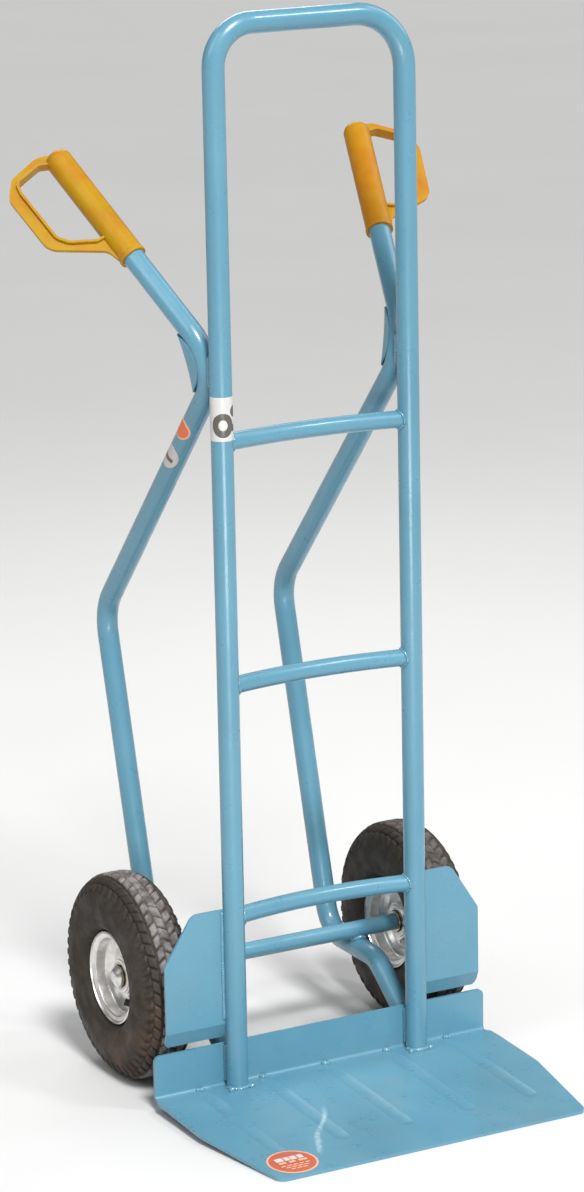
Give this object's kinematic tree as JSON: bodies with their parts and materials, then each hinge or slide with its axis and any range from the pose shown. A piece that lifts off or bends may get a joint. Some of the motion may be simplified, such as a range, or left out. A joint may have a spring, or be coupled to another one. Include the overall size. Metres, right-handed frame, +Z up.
{
  "type": "hand truck",
  "caption": "Two-wheeled steel hand truck with an upright hoop frame, swept-back side handles with closed grips, a bent toe plate and air-filled wheels.",
  "frame": {"origin": "on the floor, below the middle of the whole truck", "axes": "+X to the truck's right, +Y to its rear (the side of the handles), +Z up"},
  "size_m": [0.5579, 0.6075, 1.3307],
  "materials": {
    "blue_paint": "light blue gloss enamel on steel, slightly orange-peeled, rubbed at edges",
    "orange_plastic": "yellow-orange moulded plastic, satin, a little grubby",
    "tyre_rubber": "dusty black-brown rubber",
    "black_rubber": "black rubber",
    "zinc_plate": "bright zinc-plated pressed steel",
    "yellow_zinc": "yellow passivated zinc",
    "bright_steel": "ground steel"
  },
  "bodies": {
    "root": {"frame_hoop": "blue_paint", "crossbar_top": "blue_paint", "crossbar_middle": "blue_paint", "crossbar_bottom": "blue_paint", "toe_plate": "blue_paint", "axle_tube": "blue_paint", "axle_rod": "bright_steel", "side_tube_left": "blue_paint", "bend_gusset_left": "blue_paint", "wheel_guard_left": "blue_paint", "grip_left": "orange_plastic", "bearing_inner_rings_left": "bright_steel", "washer_inner_left": "yellow_zinc", "washer_outer_left": "yellow_zinc", "axle_cap_left": "zinc_plate", "side_tube_right": "blue_paint", "bend_gusset_right": "blue_paint", "wheel_guard_right": "blue_paint", "grip_right": "orange_plastic", "bearing_inner_rings_right": "bright_steel", "washer_inner_right": "yellow_zinc", "washer_outer_right": "yellow_zinc", "axle_cap_right": "zinc_plate"},
    "wheel_left": {"tyre_left": "tyre_rubber", "inner_tube_left": "black_rubber", "rim_outer_left": "zinc_plate", "rim_inner_left": "zinc_plate", "rim_bolts_left": "zinc_plate", "rim_nuts_left": "zinc_plate", "hub_tube_left": "zinc_plate", "bearing_outer_rings_left": "bright_steel", "bearing_seals_left": "black_rubber", "valve_stem_left": "black_rubber", "valve_cap_left": "black_rubber"},
    "bearing_left": {"bearing_balls_left": "bright_steel", "bearing_cages_left": "bright_steel"},
    "wheel_right": {"tyre_right": "tyre_rubber", "inner_tube_right": "black_rubber", "rim_outer_right": "zinc_plate", "rim_inner_right": "zinc_plate", "rim_bolts_right": "zinc_plate", "rim_nuts_right": "zinc_plate", "hub_tube_right": "zinc_plate", "bearing_outer_rings_right": "bright_steel", "bearing_seals_right": "black_rubber", "valve_stem_right": "black_rubber", "valve_cap_right": "black_rubber"},
    "bearing_right": {"bearing_balls_right": "bright_steel", "bearing_cages_right": "bright_steel"}
  },
  "joints": [
    {"name": "wheel_left_spin", "type": "hinge", "parent": "root", "child": "wheel_left", "pos_m": [-0.1985, 0.10944, 0.13], "axis": [1, 0, 0], "continuous": true},
    {"name": "bearing_left_spin", "type": "hinge", "parent": "root", "child": "bearing_left", "pos_m": [-0.1985, 0.10944, 0.13], "axis": [1, 0, 0], "continuous": true},
    {"name": "wheel_right_spin", "type": "hinge", "parent": "root", "child": "wheel_right", "pos_m": [0.1985, 0.10944, 0.13], "axis": [1, 0, 0], "continuous": true},
    {"name": "bearing_right_spin", "type": "hinge", "parent": "root", "child": "bearing_right", "pos_m": [0.1985, 0.10944, 0.13], "axis": [1, 0, 0], "continuous": true}
  ],
  "couplings": [
    {"joint": "bearing_left_spin", "follows": "wheel_left_spin", "ratio": 0.61765},
    {"joint": "bearing_right_spin", "follows": "wheel_right_spin", "ratio": 0.61765}
  ]
}
